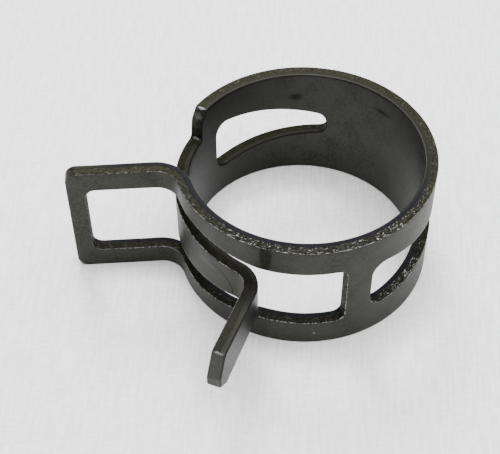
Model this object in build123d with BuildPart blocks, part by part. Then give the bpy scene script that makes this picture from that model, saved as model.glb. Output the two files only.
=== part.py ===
"""Constant-tension spring band hose clamp, in millimetres.

One strip of spring steel is stamped flat, rolled into a ring and bent out into two ears. The left end
of the strip narrows to a tongue, which passes between the two rails at the right end. The tongue ends
in a tab ear and the rails end in a frame ear. Pressing the ears together unbends the ring and opens it.

The origin is the centre of the bore at the middle of the band's width, +Z runs along the bore and the
ears point towards -Y. Angles are in degrees about +Z, counter-clockwise from +X. The strip is divided
into the zones that bend or stay stiff, and each zone is a solid that meets its neighbours face to face.
"""

import math
import os
from dataclasses import dataclass

from build123d import *

# Band
band_width = 12.0
band_thickness = 1.2
inner_radius = 10.4
outer_radius = inner_radius + band_thickness
middle_radius = inner_radius + band_thickness / 2
half_width = band_width / 2

# Stations along the left half of the ring, from the back (90) round to the ears (270)
window_start = 127.0
window_end = 190.8
upper_shoulder = 203.6
lower_shoulder = 212.6
shoulder_end = 215.0
land = 1.2
flex_stations = [window_start - land, 158.8, window_end + land, 224.5, 257.0]

# Tapered window, the same on both halves
window_narrow_half = 1.05
window_wide_half = 2.95
window_corner = 1.3
window_narrow_corner = 1.0
window_rear_plane = 131.0
window_front_plane = 186.0

# Tongue: parallel at its root, then tapering in two steps to the neck where the tab ear bends off
tongue_root_half = 3.0
tongue_middle_half = 2.2
tongue_neck_half = 1.75
taper_start = 222.0
taper_end = 257.0
neck_angle = 288.3

# Shoulders: each slopes in from the band's edge to a rounded knee, then steps down to the tongue
shoulder_slope_lead = 5.4
shoulder_knee_lead = 1.3
shoulder_knee_half = 5.0
shoulder_knee_corner = 0.8
shoulder_inner_corner = 0.35

# Slot between the rails
slot_end = 337.2
slot_half = 3.25
slot_mouth_half = 3.9
slot_corner = 0.8
slot_widens_at = 300.0
slot_wide_at = 268.0

# Frame ear, bent outwards from the two rails, with lengths measured outwards from the bore's axis
frame_bend_angle = 248.8
frame_bend_radius = 2.15
frame_ear_direction = 234.5
frame_arm_end = 18.2
frame_window_end = 19.45
frame_ear_end = 21.05
frame_outer_corner = 1.0
frame_inner_corner = 0.9

# Tab ear, bent outwards from the tongue, with a tip that slopes off above and below
tab_bend_angle = neck_angle
tab_bend_radius = 1.8
tab_ear_direction = 299.9
tab_half = 2.0
tab_taper_start = 19.9
tab_ear_end = 21.15
tab_tip_top = 0.1
tab_tip_bottom = -1.0

# How far a profile drawn on a tangent plane is taken through the band, and past its end in degrees
cut_reach = 2.5
overrun = 4.0

# How closely a corner is picked out by its place
tolerance = 0.01


def polar(distance, angle):
    """The plan point at this distance from the bore's axis and at this angle."""
    return (distance * math.cos(math.radians(angle)), distance * math.sin(math.radians(angle)))


def across(station):
    """The station opposite this one, on the other half of the ring."""
    return (180 - station) % 360


def tangent_plane(angle):
    """The plane that touches the band's middle surface, with X along the band and Y up."""
    return Plane(
        origin=(*polar(middle_radius, angle), 0),
        x_dir=(*polar(1, angle + 90), 0),
        z_dir=(*polar(1, angle), 0),
    )


def along(angle, plane_angle):
    """Where a station on the band falls along the X of the tangent plane."""
    return middle_radius * math.sin(math.radians(angle - plane_angle))


def sector(start, end):
    """The plan of the band between two stations, at its lower edge."""
    with BuildSketch(Plane.XY.offset(-half_width)) as plan:
        with BuildLine():
            outer = CenterArc((0, 0), outer_radius, start, end - start)
            inner = CenterArc((0, 0), inner_radius, start, end - start)
            Line(outer @ 0, inner @ 0)
            Line(outer @ 1, inner @ 1)
        make_face()
    return plan.sketch


def window_half_height(angle):
    """Half the height of the tapered window at a station of the left half."""
    share = (angle - window_start) / (window_end - window_start)
    return window_narrow_half + share * (window_wide_half - window_narrow_half)


def window_strips(start, end, plane_angle, closed_end, corner):
    """The two strips above and below one half of the left window, as (upper, lower)."""
    open_end = start - overrun if closed_end > (start + end) / 2 else end + overrun
    near = along(closed_end, plane_angle)
    far = along(open_end, plane_angle)
    near_half = window_half_height(closed_end)
    far_half = window_half_height(open_end)
    with BuildPart() as pair:
        extrude(sector(start, end), amount=band_width)
        with BuildSketch(tangent_plane(plane_angle)) as window:
            with BuildLine():
                Polyline(
                    (near, -near_half), (far, -far_half), (far, far_half), (near, near_half), close=True
                )
            make_face()
            closed_corners = window.vertices().sort_by(lambda v: abs(v.X - near))[:2]
            fillet(closed_corners, corner)
        extrude(amount=cut_reach, both=True, mode=Mode.SUBTRACT)
    with BuildPart() as upper:
        add(pair.part)
        split(bisect_by=Plane.XY, keep=Keep.TOP)
    with BuildPart() as lower:
        add(pair.part)
        split(bisect_by=Plane.XY, keep=Keep.BOTTOM)
    return upper.part, lower.part


def mirrored(solid):
    """The same zone on the other half of the ring."""
    with BuildPart() as copy:
        mirror(solid, about=Plane.YZ)
    return copy.part


def tongue_half(angle):
    """Half the width of the tongue at a station."""
    first_share = min(max((angle - taper_start) / (taper_end - taper_start), 0), 1)
    second_share = min(max((angle - taper_end) / (neck_angle - taper_end), 0), 1)
    first_taper = first_share * (tongue_root_half - tongue_middle_half)
    return tongue_root_half - first_taper - second_share * (tongue_middle_half - tongue_neck_half)


def tongue_zone(start, end):
    """A length of the tongue between two stations."""
    plane_angle = (start + end) / 2
    stations = [start - overrun, *[a for a in (taper_start, taper_end) if start < a < end], end + overrun]
    top = [(along(a, plane_angle), tongue_half(a)) for a in stations]
    bottom = [(x, -z) for x, z in reversed(top)]
    with BuildPart() as zone:
        extrude(sector(start, end), amount=band_width)
        with BuildSketch(tangent_plane(plane_angle)):
            with BuildLine():
                Polyline(*top, *bottom, close=True)
            make_face()
        extrude(amount=cut_reach, both=True, mode=Mode.INTERSECT)
    return zone.part


def slot_half_height(angle):
    """Half the height of the slot between the rails at a station of the right half."""
    share = min(max((slot_widens_at - angle) / (slot_widens_at - slot_wide_at), 0), 1)
    return slot_half + share * (slot_mouth_half - slot_half)


def rail_pair(start, end):
    """The rails above and below the slot between two stations, as (upper, lower)."""
    plane_angle = (start + end) / 2
    closed = end > slot_end
    last = slot_end if closed else end + overrun
    stations = [start - overrun, *[a for a in (slot_wide_at, slot_widens_at) if start < a < end], last]
    top = [(along(a, plane_angle), slot_half_height(a)) for a in stations]
    bottom = [(x, -z) for x, z in reversed(top)]
    with BuildPart() as pair:
        extrude(sector(start, end), amount=band_width)
        with BuildSketch(tangent_plane(plane_angle)) as slot:
            with BuildLine():
                Polyline(*top, *bottom, close=True)
            make_face()
            if closed:
                fillet(slot.vertices().group_by(Axis.X)[-1], slot_corner)
        extrude(amount=cut_reach, both=True, mode=Mode.SUBTRACT)
    with BuildPart() as upper:
        add(pair.part)
        split(bisect_by=Plane.XY, keep=Keep.TOP)
    with BuildPart() as lower:
        add(pair.part)
        split(bisect_by=Plane.XY, keep=Keep.BOTTOM)
    return upper.part, lower.part


@dataclass
class Ear:
    """A flat plate bent outwards from the band. Its pressed side is the one that pliers push on."""

    bend_angle: float
    bend_radius: float
    direction: float
    turn: int

    @property
    def bend_centre(self):
        return Vector(*polar(outer_radius + self.bend_radius, self.bend_angle))

    @property
    def outwards(self):
        return Vector(*polar(1, self.direction))

    @property
    def start(self):
        """Where the flat begins, along the ear from the bore's axis."""
        return self.bend_centre.dot(self.outwards)

    @property
    def pressed_plane(self):
        """The plane of the pressed side: X runs outwards along the ear and Y is up."""
        inwards = Vector(*polar(1, self.direction + 90 * self.turn))
        face_offset = self.bend_centre.dot(inwards) - self.bend_radius - band_thickness
        return Plane(origin=inwards * face_offset, x_dir=self.outwards, z_dir=inwards * -self.turn)

    @property
    def depth(self):
        """The extrusion that takes a profile on the pressed plane through the plate."""
        return -self.turn * band_thickness

    def bend_plan(self, low):
        """The plan, at this height, of the bend between the band and the flat."""
        radius = self.bend_radius
        first = self.bend_angle - 180
        sweep = (self.direction - 90 * self.turn - first + 180) % 360 - 180
        with BuildSketch(Plane.XY.offset(low)) as plan:
            with BuildLine():
                inside = CenterArc(self.bend_centre, radius, first, sweep)
                outside = CenterArc(self.bend_centre, radius + band_thickness, first, sweep)
                Line(inside @ 0, outside @ 0)
                Line(inside @ 1, outside @ 1)
            make_face()
        return plan.sketch


frame_ear = Ear(frame_bend_angle, frame_bend_radius, frame_ear_direction, 1)
tab = Ear(tab_bend_angle, tab_bend_radius, tab_ear_direction, -1)

# Back of the ring: full-width band between the two windows
with BuildPart() as back_band:
    extrude(sector(across(flex_stations[0]), flex_stations[0]), amount=band_width)

# Left window, from its narrow rear end to its wide front end
rear_span = flex_stations[0:2]
front_span = flex_stations[1:3]
left_rear = window_strips(*rear_span, window_rear_plane, window_start, window_narrow_corner)
left_front = window_strips(*front_span, window_front_plane, window_end, window_corner)

# Shoulder: the full-width web beyond the window, where the band steps down to the tongue
shoulder_plane = (flex_stations[2] + shoulder_end) / 2
web_start = along(flex_stations[2] - overrun, shoulder_plane)
web_end = along(shoulder_end + overrun, shoulder_plane)


def shoulder_points(station, side):
    """The corners of one shoulder, above the tongue for a side of 1 and below it for -1."""
    return [
        (along(station - shoulder_slope_lead, shoulder_plane), side * half_width),
        (along(station - shoulder_knee_lead, shoulder_plane), side * shoulder_knee_half),
        (along(station, shoulder_plane), side * tongue_root_half),
    ]


with BuildPart() as shoulder_web:
    extrude(sector(flex_stations[2], shoulder_end), amount=band_width)
    with BuildSketch(tangent_plane(shoulder_plane)) as outline:
        with BuildLine():
            Polyline(
                (web_start, -half_width),
                *shoulder_points(lower_shoulder, -1),
                (web_end, -tongue_root_half),
                (web_end, tongue_root_half),
                *reversed(shoulder_points(upper_shoulder, 1)),
                (web_start, half_width),
                close=True,
            )
        make_face()
        inner_corners = outline.vertices().filter_by(lambda v: abs(abs(v.Y) - tongue_root_half) < tolerance)
        fillet(inner_corners.sort_by(Axis.X)[:2], shoulder_inner_corner)
        knees = outline.vertices().filter_by(lambda v: abs(abs(v.Y) - shoulder_knee_half) < tolerance)
        fillet(knees, shoulder_knee_corner)
    extrude(amount=cut_reach, both=True, mode=Mode.INTERSECT)

# Tongue, in the lengths that its flexing divides it into
tongue_rear = tongue_zone(shoulder_end, flex_stations[3])
tongue_middle = tongue_zone(flex_stations[3], flex_stations[4])
tongue_front = tongue_zone(flex_stations[4], tab_bend_angle)

# Tab ear at the tongue's end: a tight bend and a flat plate with a pointed tip
with BuildPart() as tab_bend:
    extrude(tab.bend_plan(-tongue_neck_half), amount=2 * tongue_neck_half)

with BuildPart() as tab_ear:
    with BuildSketch(tab.pressed_plane):
        with BuildLine():
            Polyline(
                (tab.start, -tongue_neck_half),
                (tab_taper_start, -tab_half),
                (tab_ear_end, tab_tip_bottom),
                (tab_ear_end, tab_tip_top),
                (tab_taper_start, tab_half),
                (tab.start, tongue_neck_half),
                close=True,
            )
        make_face()
    extrude(amount=tab.depth)

# Right window: the left one mirrored
right_rear = [mirrored(solid) for solid in left_rear]
right_front = [mirrored(solid) for solid in left_front]

# Full-width web between the right window and the slot
slot_flex = [across(station) for station in flex_stations]
slot_web_end = slot_end + land
with BuildPart() as slot_web:
    extrude(sector(slot_web_end, slot_flex[2]), amount=band_width)

# Rails on either side of the slot
rails_rear = rail_pair(slot_flex[3], slot_web_end)
rails_middle = rail_pair(slot_flex[4], slot_flex[3])
rails_front = rail_pair(frame_bend_angle, slot_flex[4])

# Frame ear at the rails' end: two bent arms joined by a crossbar
with BuildPart() as upper_ear_arm:
    extrude(frame_ear.bend_plan(slot_mouth_half), amount=half_width - slot_mouth_half)
    with BuildSketch(frame_ear.pressed_plane):
        with BuildLine():
            Polyline(
                (frame_ear.start, slot_mouth_half),
                (frame_arm_end, slot_mouth_half),
                (frame_arm_end, half_width),
                (frame_ear.start, half_width),
                close=True,
            )
        make_face()
    extrude(amount=frame_ear.depth)

with BuildPart() as lower_ear_arm:
    mirror(upper_ear_arm.part, about=Plane.XY)

with BuildPart() as ear_crossbar:
    with BuildSketch(frame_ear.pressed_plane) as crossbar_outline:
        with BuildLine():
            Polyline(
                (frame_arm_end, -half_width),
                (frame_ear_end, -half_width),
                (frame_ear_end, half_width),
                (frame_arm_end, half_width),
                (frame_arm_end, slot_mouth_half),
                (frame_window_end, slot_mouth_half),
                (frame_window_end, -slot_mouth_half),
                (frame_arm_end, -slot_mouth_half),
                close=True,
            )
        make_face()
        fillet(crossbar_outline.vertices().group_by(Axis.X)[-1], frame_outer_corner)
        window_corners = crossbar_outline.vertices().filter_by_position(
            Axis.X, frame_window_end - tolerance, frame_window_end + tolerance
        )
        fillet(window_corners, frame_inner_corner)
    extrude(amount=frame_ear.depth)

zones = {
    "back_band": back_band.part,
    "left_rear_upper_strip": left_rear[0],
    "left_rear_lower_strip": left_rear[1],
    "left_front_upper_strip": left_front[0],
    "left_front_lower_strip": left_front[1],
    "shoulder_web": shoulder_web.part,
    "tongue_rear": tongue_rear,
    "tongue_middle": tongue_middle,
    "tongue_front": tongue_front,
    "tab_bend": tab_bend.part,
    "tab_ear": tab_ear.part,
    "right_rear_upper_strip": right_rear[0],
    "right_rear_lower_strip": right_rear[1],
    "right_front_upper_strip": right_front[0],
    "right_front_lower_strip": right_front[1],
    "slot_web": slot_web.part,
    "upper_rail_rear": rails_rear[0],
    "lower_rail_rear": rails_rear[1],
    "upper_rail_middle": rails_middle[0],
    "lower_rail_middle": rails_middle[1],
    "upper_rail_front": rails_front[0],
    "lower_rail_front": rails_front[1],
    "upper_ear_arm": upper_ear_arm.part,
    "lower_ear_arm": lower_ear_arm.part,
    "ear_crossbar": ear_crossbar.part,
}

os.makedirs("parts", exist_ok=True)
for name, solid in zones.items():
    solid.label = name
    export_step(solid, f"parts/{name}.step")
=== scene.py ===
import math
from dataclasses import dataclass

import bmesh
import bpy
import numpy as np
from mathutils import Matrix, Vector, noise
from mathutils.geometry import delaunay_2d_cdt


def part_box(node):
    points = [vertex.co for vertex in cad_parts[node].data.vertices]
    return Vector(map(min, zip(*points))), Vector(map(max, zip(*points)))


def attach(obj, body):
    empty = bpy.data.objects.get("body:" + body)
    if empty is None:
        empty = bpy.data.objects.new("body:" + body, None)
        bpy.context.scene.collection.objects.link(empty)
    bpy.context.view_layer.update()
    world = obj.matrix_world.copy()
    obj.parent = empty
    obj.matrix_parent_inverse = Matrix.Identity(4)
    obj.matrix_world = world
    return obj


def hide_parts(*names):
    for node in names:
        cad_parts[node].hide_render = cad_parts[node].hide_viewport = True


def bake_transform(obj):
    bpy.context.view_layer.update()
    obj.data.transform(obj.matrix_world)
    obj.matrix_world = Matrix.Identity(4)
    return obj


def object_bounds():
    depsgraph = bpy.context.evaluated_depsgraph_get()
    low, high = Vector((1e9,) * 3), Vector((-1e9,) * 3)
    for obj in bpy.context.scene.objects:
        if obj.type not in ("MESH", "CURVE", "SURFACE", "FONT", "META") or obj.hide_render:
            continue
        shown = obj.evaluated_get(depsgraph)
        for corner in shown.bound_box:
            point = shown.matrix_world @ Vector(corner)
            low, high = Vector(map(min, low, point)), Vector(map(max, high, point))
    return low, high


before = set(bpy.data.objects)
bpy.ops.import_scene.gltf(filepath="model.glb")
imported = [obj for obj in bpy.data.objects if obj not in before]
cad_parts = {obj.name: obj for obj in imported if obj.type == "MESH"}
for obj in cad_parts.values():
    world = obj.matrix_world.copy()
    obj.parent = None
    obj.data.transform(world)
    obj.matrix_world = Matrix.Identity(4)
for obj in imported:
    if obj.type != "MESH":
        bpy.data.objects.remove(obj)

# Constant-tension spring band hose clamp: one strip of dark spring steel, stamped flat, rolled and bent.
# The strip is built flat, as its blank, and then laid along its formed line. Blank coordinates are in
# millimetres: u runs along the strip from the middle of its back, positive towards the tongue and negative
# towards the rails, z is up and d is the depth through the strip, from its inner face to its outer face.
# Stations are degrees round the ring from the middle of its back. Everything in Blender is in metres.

cad_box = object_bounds()
MM = 0.001

# Strip
outer_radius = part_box("back_band")[1][1] / MM
half_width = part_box("back_band")[1][2] / MM
thickness = 1.2
middle_radius = outer_radius - thickness / 2
half_thickness = thickness / 2

# Tapered windows, one on each half of the ring
window_narrow_station = 37.0
window_wide_station = 100.8
window_narrow_half = 1.05
window_wide_half = 2.95
window_narrow_corner = 1.0
window_wide_corner = 1.3

# Tongue and its shoulders: each slopes in to a rounded knee, and the lower one is further along
upper_shoulder = 113.6
lower_shoulder = 122.6
shoulder_slope_lead = 5.4
shoulder_knee_lead = 1.3
shoulder_knee_half = 5.0
shoulder_slope_corner = 0.3
shoulder_knee_corner = 0.8
shoulder_inner_corner = 0.35
tongue_stations = (132.0, 167.0, 198.3)
tongue_halves = (3.0, 2.2, 1.75)

# Slot between the rails
slot_end_station = 112.8
slot_stations = (150.0, 182.0)
slot_half = 3.25
slot_mouth_half = 3.9
slot_corner = 0.8

# Frame ear and tab ear, measured outwards from the bore's axis along each ear
frame_window_end = 19.45
frame_ear_end = 21.05
frame_outer_corner = 1.0
frame_inner_corner = 0.9
tab_taper_start = 19.9
tab_ear_end = 21.15
tab_half = 2.0
tab_tip_top = 0.1
tab_tip_bottom = -1.0
tab_corner = 0.5

# Sheared edge: rolled over on the inner side, with a fine burr standing on the outer side
roll_width = 0.2
roll_depth = 0.18
roll_rings = 6
wall_rings = 8
burr_height = 0.012
burr_width = 0.05
break_start = -0.12
break_margin = 0.01
break_depth = 0.022
break_size = 0.33
break_grain = 9.0

# Slight ripple left in the faces by rolling
ripple_height = 0.012
ripple_seed = 4.0
ripple_scale = 0.35

# Mesh spacing: steps along outlines, across faces and round bends, the least share of a step between points,
# a face's clearance from its outlines, and how near to a cut a point is moved onto it or taken to lie on it
edge_step = 0.2
face_step = 0.4
arc_step = 14.0
least_share = 0.4
edge_clearance = 0.55 * edge_step + 0.1
snap = 1e-4
exact = 1e-6
merge_distance = 1e-7

# Floor and camera
floor_size = 700.0
camera_place = Vector((52.996, -49.075, 76.808))
camera_aim = Vector((-0.548, -5.857, 0.0))
camera_roll = 0.478
camera_lens = 82.93
weave_turn = math.radians(47.2)


@dataclass
class Ear:
    """A flat plate bent outwards from the ring, with its angles given as on the tongue's half."""

    bend_angle: float
    bend_radius: float
    direction: float

    @property
    def bend_start(self):
        return arc_length(self.bend_angle - 90)

    @property
    def bend_middle(self):
        return self.bend_radius + half_thickness

    @property
    def turn(self):
        return math.radians(self.bend_angle + 90 - self.direction)

    @property
    def flat_start(self):
        return self.bend_start + self.bend_middle * self.turn

    @property
    def bend_centre(self):
        angle = math.radians(self.bend_angle)
        return (outer_radius + self.bend_radius) * np.array((math.cos(angle), math.sin(angle)))

    def reach(self, distance):
        """The blank's u at this distance from the bore's axis along the ear."""
        angle = math.radians(self.direction)
        return self.flat_start + distance - self.bend_centre @ (math.cos(angle), math.sin(angle))


def arc_length(station):
    """How far along the blank a station of the ring lies."""
    return middle_radius * math.radians(station)


tab = Ear(288.3, 1.8, 299.9)
frame_ear = Ear(291.2, 2.15, 305.5)


def formed_half(distance, ear):
    """Plan points and headings of the formed strip at these distances from the back."""
    ring = np.minimum(distance, ear.bend_start) / middle_radius
    swept = np.clip((distance - ear.bend_start) / ear.bend_middle, 0, ear.turn)
    flat = np.maximum(distance - ear.flat_start, 0)
    heading = math.pi + ring - swept
    on_ring = middle_radius * np.column_stack((-np.sin(ring), np.cos(ring)))
    side = np.column_stack((-np.sin(heading), np.cos(heading)))
    on_bend = ear.bend_centre + ear.bend_middle * side
    point = np.where((distance > ear.bend_start)[:, None], on_bend, on_ring)
    point = point + flat[:, None] * np.column_stack((np.cos(heading), np.sin(heading)))
    return point, heading


def formed(blank):
    """Where points of the flat blank lie once it has been rolled and bent, in metres."""
    u, z, d = blank.T
    placed = np.empty_like(blank)
    for sign, ear in ((1, tab), (-1, frame_ear)):
        half = u >= 0 if sign > 0 else u < 0
        point, heading = formed_half(np.abs(u[half]), ear)
        outwards = np.column_stack((np.sin(heading), -np.cos(heading)))
        plan = point + d[half, None] * outwards
        placed[half, 0] = sign * plan[:, 0]
        placed[half, 1] = plan[:, 1]
        placed[half, 2] = z[half]
    return placed * MM


# The strip comes apart into pieces in the middle of each stiff length
cut_stations = (52.3, 85.4, 124.0, 150.75, 182.65)
cuts = sorted([0.0, *[s * arc_length(c) for c in cut_stations for s in (1, -1)]])


def rounded(corners):
    """A closed outline through these corners, rounded, with points about a step apart and on every cut."""
    bends = []
    for i, (u, z, radius) in enumerate(corners):
        corner = Vector((u, z))
        before = (Vector(corners[i - 1][:2]) - corner).normalized()
        after = (Vector(corners[(i + 1) % len(corners)][:2]) - corner).normalized()
        opening = before.angle(after)
        if radius == 0:
            bends.append([corner])
            continue
        centre = corner + (before + after).normalized() * radius / math.sin(opening / 2)
        first = corner + before * radius / math.tan(opening / 2) - centre
        sweep = math.pi - opening
        turn = -1 if before.x * after.y - before.y * after.x > 0 else 1
        count = max(2, math.ceil(math.degrees(sweep) / arc_step))
        spins = [Matrix.Rotation(turn * sweep * k / count, 2) for k in range(count + 1)]
        bends.append([centre + spin @ first for spin in spins])
    knots = [p for bend in bends for p in bend]
    points = []
    for a, b in zip(knots, knots[1:] + knots[:1]):
        count = max(1, math.ceil((b - a).length / edge_step))
        shares = [k / count for k in range(count)]
        for cut in cuts:
            if min(a.x, b.x) < cut < max(a.x, b.x):
                share = (cut - a.x) / (b.x - a.x)
                shares = [s for s in shares if s == 0 or abs(s - share) * count > least_share] + [share]
        points += [a.lerp(b, s) for s in sorted(shares)]
    points = np.array(points)
    for cut in cuts:
        points[np.abs(points[:, 0] - cut) < snap, 0] = cut
    return points


def window(sign):
    """The tapered window on one half of the strip."""
    narrow = arc_length(window_narrow_station) * sign
    wide = arc_length(window_wide_station) * sign
    return [
        (narrow, window_narrow_half, window_narrow_corner),
        (wide, window_wide_half, window_wide_corner),
        (wide, -window_wide_half, window_wide_corner),
        (narrow, -window_narrow_half, window_narrow_corner),
    ]


def shoulder(station, side):
    """The corners of one shoulder, above the tongue for a side of 1 and below it for -1."""
    slope = arc_length(station - shoulder_slope_lead)
    knee = arc_length(station - shoulder_knee_lead)
    return [
        (slope, side * half_width, shoulder_slope_corner),
        (knee, side * shoulder_knee_half, shoulder_knee_corner),
        (arc_length(station), side * tongue_halves[0], shoulder_inner_corner),
    ]


def blank_outlines():
    """The outer outline of the flat blank, then its windows."""
    tongue = [(arc_length(s), half) for s, half in zip(tongue_stations, tongue_halves)]
    tongue.append((tab.flat_start, tongue_halves[-1]))
    taper = tab.reach(tab_taper_start)
    tip = tab.reach(tab_ear_end)
    frame_tip = -frame_ear.reach(frame_ear_end)
    outer = [
        *shoulder(lower_shoulder, -1),
        *[(u, -half, 0) for u, half in tongue],
        (taper, -tab_half, tab_corner),
        (tip, tab_tip_bottom, tab_corner),
        (tip, tab_tip_top, tab_corner),
        (taper, tab_half, tab_corner),
        *[(u, half, 0) for u, half in reversed(tongue)],
        *reversed(shoulder(upper_shoulder, 1)),
        (frame_tip, half_width, frame_outer_corner),
        (frame_tip, -half_width, frame_outer_corner),
    ]
    slot_widens, slot_wide = [-arc_length(s) for s in slot_stations]
    slot_end = -arc_length(slot_end_station)
    frame_end = -frame_ear.reach(frame_window_end)
    slot = [
        (slot_end, slot_half, slot_corner),
        (slot_end, -slot_half, slot_corner),
        (slot_widens, -slot_half, 0),
        (slot_wide, -slot_mouth_half, 0),
        (frame_end, -slot_mouth_half, frame_inner_corner),
        (frame_end, slot_mouth_half, frame_inner_corner),
        (slot_wide, slot_mouth_half, 0),
        (slot_widens, slot_half, 0),
    ]
    return [rounded(corners) for corners in (outer, window(1), window(-1), slot)]


def edge_profile():
    """How far in from the outline, and at what depth, each ring of the sheared edge lies."""
    roll = [
        (roll_width * (1 - math.sin(a)), roll_depth * (1 - math.cos(a)) - half_thickness)
        for a in np.linspace(0, math.pi / 2, roll_rings)
    ]
    wall_depths = np.linspace(roll_depth - half_thickness, half_thickness - burr_width, wall_rings)
    wall = [(0.0, d) for d in wall_depths[1:]]
    return [*roll, *wall, (burr_width, half_thickness + burr_height)]


def on_a_cut(points):
    """Which points lie exactly on a cut."""
    return np.min(np.abs(points[:, :1] - np.array(cuts)), axis=1) < exact


def inward_steps(points, material_left):
    """The step from each outline point that moves its edges one unit into the material."""
    along = np.roll(points, -1, axis=0) - points
    along /= np.linalg.norm(along, axis=1)[:, None]
    normal = np.column_stack((-along[:, 1], along[:, 0])) * (1 if material_left else -1)
    before = np.roll(normal, 1, axis=0)
    middle = normal + before
    middle /= np.linalg.norm(middle, axis=1)[:, None]
    step = middle / np.sum(middle * normal, axis=1)[:, None]
    cut = on_a_cut(points)
    step[cut] = [(0.0, 1 / s) for s in normal[cut, 1]]
    return step


def signed_area(points):
    """The area inside a closed outline, positive when it runs anticlockwise."""
    x, y = points.T
    return 0.5 * np.sum(x * np.roll(y, -1) - np.roll(x, -1) * y)


def within(points, outlines):
    """Which points are in the material: inside an odd number of outlines."""
    inside = np.zeros(len(points), bool)
    for outline in outlines:
        for (ax, ay), (bx, by) in zip(outline, np.roll(outline, -1, axis=0)):
            if ay != by:
                crosses = (points[:, 1] < ay) != (points[:, 1] < by)
                inside ^= crosses & (points[:, 0] < ax + (points[:, 1] - ay) / (by - ay) * (bx - ax))
    return inside


def clearance(points, outlines):
    """How far each point is from the nearest outline point."""
    edge = np.vstack(outlines)
    return np.array([np.sqrt(np.min(np.sum((edge - p) ** 2, axis=1))) for p in points])


def face_grid(outlines):
    """Points inside the material on a grid whose columns fall on the cuts."""
    low = min(outline[:, 0].min() for outline in outlines)
    high = max(outline[:, 0].max() for outline in outlines)
    ends = [low, *cuts, high]
    columns = []
    for a, b in zip(ends, ends[1:]):
        columns += list(np.linspace(a, b, max(2, round((b - a) / face_step)), endpoint=False))
    rows = np.arange(-half_width, half_width, face_step) + face_step / 2
    grid = np.array([(u, z) for u in columns for z in rows])
    grid = grid[within(grid, outlines)]
    return grid[clearance(grid, outlines) > edge_clearance]


def face_triangles(outlines):
    """The grid points and the triangles of one face of the strip. Outline points are numbered first."""
    grid = face_grid(outlines)
    points = np.vstack([*outlines, grid]).astype(np.float32).astype(float)
    outlines = np.split(points[: -len(grid)], np.cumsum([len(o) for o in outlines])[:-1])
    edges = []
    first = 0
    for outline in outlines:
        count = len(outline)
        edges += [(first + k, first + (k + 1) % count) for k in range(count)]
        first += count
    for cut in cuts:
        on_cut = np.flatnonzero(np.abs(points[:, 0] - cut) < snap)
        on_cut = on_cut[np.argsort(points[on_cut, 1])]
        between = (points[on_cut[:-1]] + points[on_cut[1:]]) / 2
        solid = within(between, outlines)
        edges += [(int(a), int(b)) for a, b, s in zip(on_cut, on_cut[1:], solid) if s]
    made = delaunay_2d_cdt([Vector(p) for p in points], edges, [], 0, merge_distance)
    number = [originals[0] for originals in made[3]]
    triangles = np.array([[number[v] for v in face] for face in made[2]])
    centres = points[triangles].mean(axis=1)
    return grid, triangles[within(centres, outlines)]


def roughened(blank, inward, in_break):
    """Breaks up the sheared wall and lets the faces ripple slightly."""
    moved = blank.copy()
    for i, (u, z, d) in enumerate(blank):
        if in_break[i]:
            coarse = noise.noise(Vector((u, z, d)) / break_size)
            fine = noise.noise(Vector((u, z, d * 2)) * break_grain)
            moved[i, :2] += inward[i] * break_depth * max(0.0, 0.5 + coarse + 0.5 * fine)
        ripple = noise.noise(Vector((u * ripple_scale, z * ripple_scale, ripple_seed)))
        moved[i, 2] += ripple_height * ripple
    return moved


def wall_faces(outlines, ring_count):
    """The faces that join each ring of the sheared edge to the next."""
    outline_count = sum(len(o) for o in outlines)
    faces = []
    first = 0
    for outline in outlines:
        count = len(outline)
        for k in range(count):
            a = first + k
            b = first + (k + 1) % count
            for low in range(0, (ring_count - 1) * outline_count, outline_count):
                high = low + outline_count
                faces.append((low + a, low + b, high + b, high + a))
        first += count
    return faces


def flat_strip():
    """The blank as a closed mesh: points as designed and as roughened, faces, and distances from the rim."""
    outlines = blank_outlines()
    steps = [inward_steps(o, (signed_area(o) > 0) == (i == 0)) for i, o in enumerate(outlines)]
    profile = edge_profile()
    outline_count = sum(len(o) for o in outlines)
    rings = []
    for inset, depth in profile:
        ring = np.vstack([o + inset * s for o, s in zip(outlines, steps)])
        rings.append(np.column_stack((ring, np.full(len(ring), depth))))
    points = rings[:]
    faces = wall_faces(outlines, len(profile))
    splits = np.cumsum([len(o) for o in outlines])[:-1]
    wall_count = outline_count * len(profile)
    rim = [np.zeros(wall_count)]
    inward = [np.tile(np.vstack(steps), (len(profile), 1))]
    used = wall_count
    for ring in (0, len(profile) - 1):
        loops = np.split(rings[ring][:, :2], splits)
        grid, triangles = face_triangles(loops)
        depth = math.copysign(half_thickness, profile[ring][1])
        points.append(np.column_stack((grid, np.full(len(grid), depth))))
        rim.append(clearance(grid, loops))
        inward.append(np.zeros((len(grid), 2)))
        on_outline = triangles < outline_count
        numbered = np.where(on_outline, triangles + ring * outline_count, triangles - outline_count + used)
        faces += numbered.tolist()
        used += len(grid)
    blank = np.vstack(points)
    in_break = (blank[:, 2] > break_start) & (blank[:, 2] < half_thickness - burr_width - break_margin)
    in_break &= np.arange(len(blank)) < wall_count
    moved = roughened(blank, np.vstack(inward), in_break & ~on_a_cut(blank))
    return blank, moved, faces, np.concatenate(rim)


def facing_out(points, faces):
    """The faces of a closed mesh, all turned outwards."""
    bm = bmesh.new()
    verts = [bm.verts.new(p) for p in points]
    for face in faces:
        bm.faces.new([verts[v] for v in face])
    bm.verts.index_update()
    bmesh.ops.recalc_face_normals(bm, faces=bm.faces[:])
    turned = [[v.index for v in face.verts] for face in bm.faces]
    bm.free()
    return turned


def smooth_normals(points, faces):
    """Each point's normal, weighted by the areas of its faces."""
    normals = np.zeros_like(points)
    for face in faces:
        corners = points[face]
        area = np.cross(corners[1] - corners[0], corners[2] - corners[0])
        if len(face) == 4:
            area = area + np.cross(corners[2] - corners[0], corners[3] - corners[0])
        normals[face] += area
    return normals / np.linalg.norm(normals, axis=1)[:, None]


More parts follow.
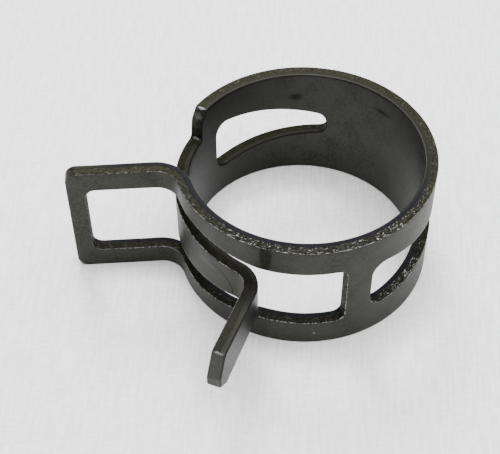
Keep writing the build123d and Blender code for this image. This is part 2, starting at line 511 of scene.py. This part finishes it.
def end_caps(faces):
    """The faces that close a piece where it was cut from the strip."""
    ways = {(a, b) for face in faces for a, b in zip(face, face[1:] + face[:1])}
    following = {b: a for a, b in ways if (b, a) not in ways}
    caps = []
    while following:
        start, point = following.popitem()
        cap = [start]
        while point != start:
            cap.append(point)
            point = following.pop(point)
        caps.append(cap)
    return caps


def strip_piece(name, span, strip, steel):
    """The part of the strip between two cuts, closed at both."""
    blank, formed_points, normals, faces, rim = strip
    low, high = span
    own = [f for f in faces if low < blank[f, 0].mean() < high]
    caps = end_caps(own)
    used = sorted({v for face in own for v in face})
    new_index = {v: i for i, v in enumerate(used)}
    mesh = bpy.data.meshes.new(name)
    mesh.from_pydata(formed_points[used].tolist(), [], [[new_index[v] for v in f] for f in [*own, *caps]])
    mesh.polygons.foreach_set("use_smooth", [True] * len(mesh.polygons))
    corner_normals = []
    for polygon in mesh.polygons:
        if polygon.index < len(own):
            corner_normals += [normals[used[v]] for v in polygon.vertices]
        else:
            corner_normals += [polygon.normal[:]] * len(polygon.vertices)
    mesh.normals_split_custom_set(corner_normals)
    place = mesh.attributes.new("blank", "FLOAT_VECTOR", "POINT")
    place.data.foreach_set("vector", blank[used].ravel())
    distance = mesh.attributes.new("rim", "FLOAT", "POINT")
    distance.data.foreach_set("value", rim[used])
    mesh.materials.append(steel)
    piece = bpy.data.objects.new(name, mesh)
    bpy.context.collection.objects.link(piece)
    return piece


def ring_point(station, sign):
    """A point on the ring's middle surface at mid-width."""
    return Vector(formed(np.array([(sign * arc_length(station), 0.0, 0.0)]))[0])


joint_stations = (35.8, 68.8, 102.0, 134.5, 167.0)
blend_reach = 10.0
tongue_side = ("back", "left_window_rear", "left_window_front", "shoulder", "tongue", "tab_end")
rail_side = ("back", "right_window_rear", "right_window_front", "slot_root", "rails", "frame_end")
tongue_pieces = {
    "left_back_and_window_root": ["back_band", "left_rear_upper_strip", "left_rear_lower_strip"],
    "left_window_strips": ["left_front_upper_strip", "left_front_lower_strip"],
    "shoulder_and_window_end": ["shoulder_web"],
    "tongue_root": ["tongue_rear"],
    "tongue_taper": ["tongue_middle"],
    "tongue_tip_and_tab_ear": ["tongue_front", "tab_bend", "tab_ear"],
}
rail_pieces = {
    "right_back_and_window_root": ["back_band", "right_rear_upper_strip", "right_rear_lower_strip"],
    "right_window_strips": ["right_front_upper_strip", "right_front_lower_strip"],
    "slot_web_and_window_end": ["slot_web"],
    "rail_roots": ["upper_rail_rear", "lower_rail_rear"],
    "rails_beside_tongue": ["upper_rail_middle", "lower_rail_middle"],
    "rail_ends_and_frame_ear": [
        "upper_rail_front", "lower_rail_front", "upper_ear_arm", "lower_ear_arm", "ear_crossbar",
    ],
}


def build_strip(steel):
    """Every piece of the strip, baked in place, or riding on its ear's body at the ends."""
    blank, moved, faces, rim = flat_strip()
    faces = facing_out(blank, faces)
    points = formed(moved)
    strip = (blank, points, smooth_normals(points, faces), faces, rim)
    ends = [0.0, *[arc_length(c) for c in cut_stations], 2 * arc_length(180)]
    for sign, bodies, named in ((1, tongue_side, tongue_pieces), (-1, rail_side, rail_pieces)):
        for i, (name, nodes) in enumerate(named.items()):
            span = sorted((sign * ends[i], sign * ends[i + 1]))
            piece = strip_piece(name, span, strip, steel)
            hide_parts(*nodes)
            if i < len(joint_stations):
                start = ring_point(joint_stations[i] - blend_reach, sign)
                end = ring_point(joint_stations[i] + blend_reach, sign)
                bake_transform(piece)
            else:
                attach(piece, bodies[i])


class Nodes:
    """Short forms for building a shader's node tree."""

    def __init__(self, name):
        self.material = bpy.data.materials.new(name)
        self.material.use_nodes = True
        self.tree = self.material.node_tree
        self.shader = self.tree.nodes["Principled BSDF"]

    def node(self, kind, **settings):
        made = self.tree.nodes.new(kind)
        for key, value in settings.items():
            setattr(made, key, value)
        return made

    def feed(self, socket, value):
        if isinstance(value, bpy.types.NodeSocket):
            self.tree.links.new(value, socket)
        else:
            socket.default_value = value

    def math(self, operation, *values):
        made = self.node("ShaderNodeMath", operation=operation)
        for socket, value in zip(made.inputs, values):
            self.feed(socket, value)
        return made.outputs[0]

    def ramp(self, value, low, high, first=0.0, last=1.0):
        """A smooth step from first to last as the value goes from low to high."""
        made = self.node("ShaderNodeMapRange", interpolation_type="SMOOTHSTEP")
        for socket, fed in zip(made.inputs, (value, low, high, first, last)):
            self.feed(socket, fed)
        return made.outputs[0]

    def mix(self, share, first, second):
        """A colour between two others."""
        made = self.node("ShaderNodeMix", data_type="RGBA")
        for index, fed in ((0, share), (6, first), (7, second)):
            self.feed(made.inputs[index], fed)
        return made.outputs[2]

    def stretched(self, vector, scale):
        made = self.node("ShaderNodeVectorMath", operation="MULTIPLY")
        self.feed(made.inputs[0], vector)
        self.feed(made.inputs[1], scale)
        return made.outputs[0]

    def noise(self, vector, scale, detail=3.0, roughness=0.6):
        made = self.node("ShaderNodeTexNoise")
        self.feed(made.inputs["Vector"], vector)
        self.feed(made.inputs["Scale"], scale)
        self.feed(made.inputs["Detail"], detail)
        self.feed(made.inputs["Roughness"], roughness)
        return made.outputs["Fac"]

    def bump(self, height, strength, distance, normal=None):
        made = self.node("ShaderNodeBump")
        self.feed(made.inputs["Height"], height)
        self.feed(made.inputs["Strength"], strength)
        self.feed(made.inputs["Distance"], distance)
        if normal is not None:
            self.feed(made.inputs["Normal"], normal)
        return made.outputs["Normal"]


def grey(level, warmth=0.0):
    """A grey, or with some warmth an olive grey."""
    return (level * (1 + warmth), level * (1 + 0.9 * warmth), level * (1 - warmth), 1.0)


@dataclass
class Mark:
    """A soft oval patch on the blank. It's whole as far out as fade, which is a share of its reach."""

    centre: tuple
    reach: tuple
    fade: float


# Marks on the faces and on the sheared edge
window_stain = Mark((10.3, 3.3, -half_thickness), (1.0, 0.6, 0.3), 0.2)
back_stain = Mark((0.9, 4.1, -half_thickness), (1.7, 0.35, 0.3), 0.2)
# A painted dark reflection on the upper rail's outer face, which is also made rougher
dark_reflection_patch = Mark((-28.3, 5.0, half_thickness), (0.62, 2.0, 0.3), 0.6)
tongue_scuff = Mark((35.2, 0.5, half_thickness), (1.5, 0.5, 0.3), 0.3)
rail_nick = Mark((-24.15, -4.72, half_thickness), (0.16, 0.16, 0.3), 0.5)
worn_shoulder = Mark((arc_length(upper_shoulder - 3.0), 5.4, 0.1), (0.9, 0.9, 0.8), 0.2)

# Curved scratch across the tongue: part of a circle
scratch_centre = (35.55, -1.4, half_thickness)
scratch_radius = 2.33
scratch_half_width = 0.07
scratch_core = 0.02
scratch_extent = Mark((37.0, -0.2, half_thickness), (1.7, 2.2, 1.0), 0.7)

# Painted glints on worn corners, where they catch the light: the upper shoulder's two and the tab's upper
# one
glinting_corners = [
    Mark((u, z, 0.0), (0.2, 0.3, 0.55), 0.2)
    for u, z in (
        (arc_length(upper_shoulder - shoulder_slope_lead), half_width),
        (arc_length(upper_shoulder), tongue_halves[0]),
        (tab.reach(tab_taper_start), tab_half),
    )
]

# Fades across the edge, each from the depth where a look is absent to the depth where it's full
inner_fade = (-0.35, -0.5)
outer_fade = (0.5, 0.58)
wall_fades = ((-0.56, -0.4), (0.6, 0.57))
off_face_fades = ((-0.6, -0.56), (0.6, 0.57))
break_fade = (-0.16, 0.02)
burr_fade = (0.55, 0.59)

# Fades along the strip, and out from its middle past the walls of the tongue, slot and windows
front_fades = ((-10.0, -20.0), (-40.0, -30.0))
right_window_fades = ((-10.0, -14.0), (-21.0, -19.5))
# Where the rollover is painted blue-black as a dark reflection
dark_front_roll_fades = ((-6.0, -15.0), (-49.0, -44.0))
tab_fade = (tab.bend_start + 1.0, tab.flat_start + 1.0)
tip_fade = (tab.reach(tab_taper_start) - 0.2, tab.reach(tab_taper_start) + 0.3)
cut_out_fade = (4.4, 4.1)


class Steel(Nodes):
    """Dark phosphated spring steel, shaded by where a point lies on the blank."""

    def __init__(self):
        super().__init__("spring_steel")
        self.blank = self.node("ShaderNodeAttribute", attribute_name="blank").outputs["Vector"]
        self.rim = self.node("ShaderNodeAttribute", attribute_name="rim").outputs["Fac"]
        parts = self.node("ShaderNodeSeparateXYZ")
        self.feed(parts.inputs[0], self.blank)
        self.u, self.z, self.d = parts.outputs
        self.grain_place = self.stretched(self.blank, (0.55, 0.8, 1.5))
        self.mottle = self.noise(self.blank, 3.2, 4.0)
        self.stained = self.times(self.noise(self.blank, 2.2, 4.0), 1.4)

        # Across the edge: the inner face, the sheared wall with its rollover, and the wall's broken part
        self.inner = self.ramp(self.d, *inner_fade)
        self.wall = self.band(self.d, wall_fades)
        wander = self.math("MULTIPLY_ADD", self.noise(self.blank, 1.6), 0.3, -0.15)
        self.broken = self.times(self.ramp(self.plus(self.d, wander), *break_fade), self.wall)

        # Along the strip: the tab, its sloping tip, and the walls of the tongue, slot and windows
        self.on_tab = self.ramp(self.u, *tab_fade)
        self.on_tip = self.ramp(self.u, *tip_fade)
        # The cut-out walls get painted shade: darker, as if shadowed by the strip above them
        mid_width = self.ramp(self.math("ABSOLUTE", self.z), *cut_out_fade)
        self.cut_out = self.times(self.band(self.d, off_face_fades), mid_width, self.rest_of(self.on_tab))

        # Painted glints: bright specks in patches, many on the ring's front edge and in the right window,
        # few elsewhere
        patches = self.ramp(self.noise(self.blank, 1.3, 2.0), 0.38, 0.55, 0.3, 1.0)
        specks = self.ramp(self.noise(self.grain_place, 6.5, 4.0, 0.8), 0.57, 0.63)
        self.specks = self.times(specks, patches)
        self.on_front = self.band(self.u, front_fades)
        glinting_rim = self.times(self.on_front, self.rest_of(self.cut_out))
        glinting_cut_out = self.times(self.band(self.u, right_window_fades), self.cut_out)
        self.glint_share = self.plus(glinting_rim, glinting_cut_out, self.ramp(self.u, 4.0, -4.0, 0.06, 0.2))

    def times(self, first, *others):
        for other in others:
            first = self.math("MULTIPLY", first, other)
        return first

    def plus(self, first, *others):
        for other in others:
            first = self.math("ADD", first, other)
        return first

    def rest_of(self, share):
        return self.math("SUBTRACT", 1.0, share)

    def band(self, place, fades):
        """One where a place is past both fades, and nothing outside them."""
        return self.times(*[self.ramp(place, *fade) for fade in fades])

    def patch(self, mark):
        """How far a point is inside a mark: one at its heart and nothing past its reach."""
        away = self.node("ShaderNodeVectorMath", operation="SUBTRACT")
        self.feed(away.inputs[0], self.blank)
        self.feed(away.inputs[1], mark.centre)
        scaled = self.stretched(away.outputs[0], tuple(1 / r for r in mark.reach))
        length = self.node("ShaderNodeVectorMath", operation="LENGTH")
        self.feed(length.inputs[0], scaled)
        return self.ramp(length.outputs["Value"], 1.0, mark.fade)

    def face_colour(self):
        """Warm dark grey outside, and inside a cooler one that darkens towards the tongue."""
        blotches = self.ramp(self.noise(self.blank, 0.5, 3.0), 0.35, 0.65)
        flecks = self.ramp(self.mottle, 0.42, 0.68)
        outer_face = self.mix(blotches, grey(0.025, 0.08), grey(0.034, 0.06))
        outer_face = self.mix(flecks, outer_face, grey(0.043, 0.09))
        inner_face = self.mix(blotches, grey(0.021, 0.14), grey(0.031, 0.06))
        inner_face = self.mix(flecks, inner_face, grey(0.036, 0.05))
        inner_face = self.mix(self.ramp(self.u, 4.0, 20.0, 0.0, 0.6), inner_face, grey(0.014, 0.03))
        face = self.mix(self.inner, outer_face, inner_face)
        pits = self.ramp(self.noise(self.blank, 5.5, 2.0), 0.70, 0.76)
        return self.mix(self.times(pits, 0.6), face, grey(0.01))

    def stains(self):
        return self.plus(self.patch(window_stain), self.patch(back_stain))

    def scratch(self):
        """A fine curved line on the outer face of the tongue."""
        away = self.node("ShaderNodeVectorMath", operation="DISTANCE")
        self.feed(away.inputs[0], self.blank)
        self.feed(away.inputs[1], scratch_centre)
        off_line = self.math("ABSOLUTE", self.math("SUBTRACT", away.outputs["Value"], scratch_radius))
        line = self.ramp(off_line, scratch_half_width, scratch_core)
        return self.times(line, self.ramp(self.d, *outer_fade), self.patch(scratch_extent))

    def marked(self, face):
        """The faces' colour with the stains, the painted dark reflection on the upper rail, scuff, scratch
        and nick.
        """
        face = self.mix(self.times(self.stains(), self.stained), face, grey(0.005))
        # Painted dark reflection on the upper rail
        darkened_by_reflection = self.times(self.patch(dark_reflection_patch), self.stained, 0.75)
        face = self.mix(darkened_by_reflection, face, grey(0.006))
        scuffed = self.times(self.patch(tongue_scuff), self.stained, 0.5)
        face = self.mix(scuffed, face, grey(0.08))
        face = self.mix(self.scratch(), face, grey(0.004))
        return self.mix(self.patch(rail_nick), face, grey(0.12))

    def wall_colour(self):
        """The sheared wall: a burnished rollover, painted blue-black at the front as a dark reflection, then
        olive break with specks as painted glints, and with painted shade darkening the break in the cut-outs
        and at the front.
        """
        uneven = self.ramp(self.noise(self.blank, 3.0), 0.35, 0.65)
        broken_steel = self.mix(uneven, grey(0.013, 0.2), grey(0.030, 0.2))
        # Painted shade: the break darker in the cut-outs
        broken_steel = self.mix(self.times(self.cut_out, 0.6), broken_steel, grey(0.008, 0.2))
        # Painted shade: the break darker along the ring's front edge
        broken_steel = self.mix(self.times(self.on_front, 0.6), broken_steel, grey(0.009, 0.1))
        # Painted glints: bright specks on the broken wall
        broken_steel = self.mix(self.times(self.specks, self.glint_share), broken_steel, grey(0.38, 0.03))
        # Painted dark reflection: the rollover blue-black along the ring's front
        burnish = self.mix(self.band(self.u, dark_front_roll_fades), grey(0.0135, 0.12), grey(0.009, -0.1))
        wall = self.mix(self.broken, burnish, broken_steel)
        # Painted light: the tab's sloping tip lighter than its top wall, as it faces the light
        tab_wall = self.mix(self.on_tip, grey(0.026, 0.1), grey(0.085, 0.05))
        wall = self.mix(self.times(self.on_tab, 0.85), wall, tab_wall)
        lightened = self.times(self.patch(worn_shoulder), self.ramp(self.noise(self.blank, 2.6), 0.4, 0.6))
        return self.mix(lightened, wall, grey(0.09, 0.02))

    def burr_line(self):
        """A painted highlight along the burr: a bright, broken line on the outer side of every edge, faint
        on the frame ear.
        """
        burr = self.times(self.ramp(self.d, *burr_fade), self.ramp(self.rim, burr_width, 0.0))
        gaps = self.ramp(self.noise(self.blank, 4.5, 5.0, 0.75), 0.47, 0.56)
        return self.times(burr, gaps, self.ramp(self.u, -50.0, -40.0, 0.3, 0.8))

    def glints(self):
        # Painted glints: bright spots on the worn corners, broken up by noise
        lightened = self.plus(*[self.patch(corner) for corner in glinting_corners])
        return self.times(lightened, self.ramp(self.noise(self.blank, 7.0), 0.4, 0.58))

    def colour(self):
        # In the cut-outs the rollover takes the wall's darker colour too, as painted shade
        on_edge = self.math("MAXIMUM", self.wall, self.cut_out)
        colour = self.mix(on_edge, self.marked(self.face_colour()), self.wall_colour())
        # Painted highlight along the burr
        colour = self.mix(self.burr_line(), colour, grey(0.36, 0.03))
        # Painted glints on the worn corners
        return self.mix(self.glints(), colour, grey(0.4, -0.03))

    def roughness(self):
        """Smoothest on the inner face and on the specks, roughest in the cut-outs and on the marks."""
        roughness = self.ramp(self.mottle, 0.3, 0.7, 0.33, 0.43)
        outer = self.times(self.rest_of(self.inner), 0.12)
        edge = self.times(self.wall, 0.06)
        dull_edge = self.times(self.math("MAXIMUM", self.cut_out, self.times(self.on_tab, self.wall)), 0.12)
        marks = self.times(self.plus(self.patch(dark_reflection_patch), self.stains()), 0.15)
        bright = self.times(self.specks, self.broken, -0.2)
        return self.plus(roughness, outer, edge, dull_edge, marks, bright)

    def relief(self):
        """Fine grain all over, and a ragged surface where the wall is broken."""
        grain = self.bump(self.noise(self.blank, 22.0, 3.0), 0.3, 0.02 * MM)
        ragged = self.noise(self.grain_place, 7.0, 4.0, 0.7)
        return self.bump(self.times(ragged, self.broken), 1.0, 0.13 * MM, grain)


def spring_steel():
    """Dark metal with a matt phosphate finish, with painted glints, highlights and shade in places on its
    sheared edges.
    """
    n = Steel()
    n.feed(n.shader.inputs["Base Color"], n.colour())
    n.feed(n.shader.inputs["Roughness"], n.roughness())
    n.feed(n.shader.inputs["Normal"], n.relief())
    n.shader.inputs["Metallic"].default_value = 1.0
    n.shader.inputs["Specular Tint"].default_value = grey(0.93)
    return n.material


def cloth():
    """Pale woven cloth: fine threads both ways and a slight unevenness."""
    n = Nodes("pale_cloth")
    place = n.node("ShaderNodeTexCoord").outputs["Object"]
    along = n.noise(n.stretched(place, (3600.0, 300.0, 1.0)), 1.0, 2.0)
    across = n.noise(n.stretched(place, (900.0, 3000.0, 1.0)), 1.0, 2.0)
    weave = n.math("ADD", along, n.math("MULTIPLY", across, 0.7))
    clouds = n.noise(place, 16.0, 2.0)
    tone = n.mix(n.ramp(clouds, 0.3, 0.7), (0.795, 0.802, 0.802, 1), (0.825, 0.832, 0.832, 1))
    tone = n.mix(n.ramp(weave, 0.7, 1.0), tone, (0.93, 0.935, 0.935, 1))
    n.feed(n.shader.inputs["Base Color"], tone)
    n.shader.inputs["Roughness"].default_value = 0.95
    n.feed(n.shader.inputs["Normal"], n.bump(weave, 0.6, 0.15 * MM))
    return n.material


def add_floor():
    mesh = bpy.data.meshes.new("floor")
    reach = floor_size / 2
    corners = [(-reach, -reach, 0), (reach, -reach, 0), (reach, reach, 0), (-reach, reach, 0)]
    mesh.from_pydata([Vector(c) * MM for c in corners], [], [(0, 1, 2, 3)])
    mesh.materials.append(cloth())
    floor = bpy.data.objects.new("floor", mesh)
    floor.location.z = cad_box[0][2]
    floor.rotation_euler.z = weave_turn
    bpy.context.collection.objects.link(floor)


def add_softbox(name, place, size, power):
    """A square soft light aimed at the bore."""
    light = bpy.data.lights.new(name, "AREA")
    light.shape = "SQUARE"
    light.size = size * MM
    light.energy = power
    softbox = bpy.data.objects.new(name, light)
    softbox.location = Vector(place) * MM
    softbox.rotation_euler = (-Vector(place)).to_track_quat("-Z", "Y").to_euler()
    bpy.context.collection.objects.link(softbox)


def add_lights():
    world = bpy.data.worlds.new("studio")
    world.use_nodes = True
    background = world.node_tree.nodes["Background"]
    background.inputs["Color"].default_value = (0.97, 0.985, 1.0, 1)
    background.inputs["Strength"].default_value = 0.75
    bpy.context.scene.world = world
    add_softbox("overhead", place=(0, 60, 420), size=420, power=4.2)
    add_softbox("key", place=(-260, 120, 300), size=120, power=1.6)


def add_camera():
    data = bpy.data.cameras.new("camera")
    data.lens = camera_lens
    data.clip_start = MM
    camera = bpy.data.objects.new("camera", data)
    look = (camera_aim - camera_place).to_track_quat("-Z", "Y").to_matrix()
    turned = look @ Matrix.Rotation(-math.radians(camera_roll), 3, "Z")
    camera.matrix_world = Matrix.Translation(camera_place * MM) @ turned.to_4x4()
    bpy.context.collection.objects.link(camera)
    bpy.context.scene.camera = camera


add_camera()
build_strip(spring_steel())
add_floor()
add_lights()
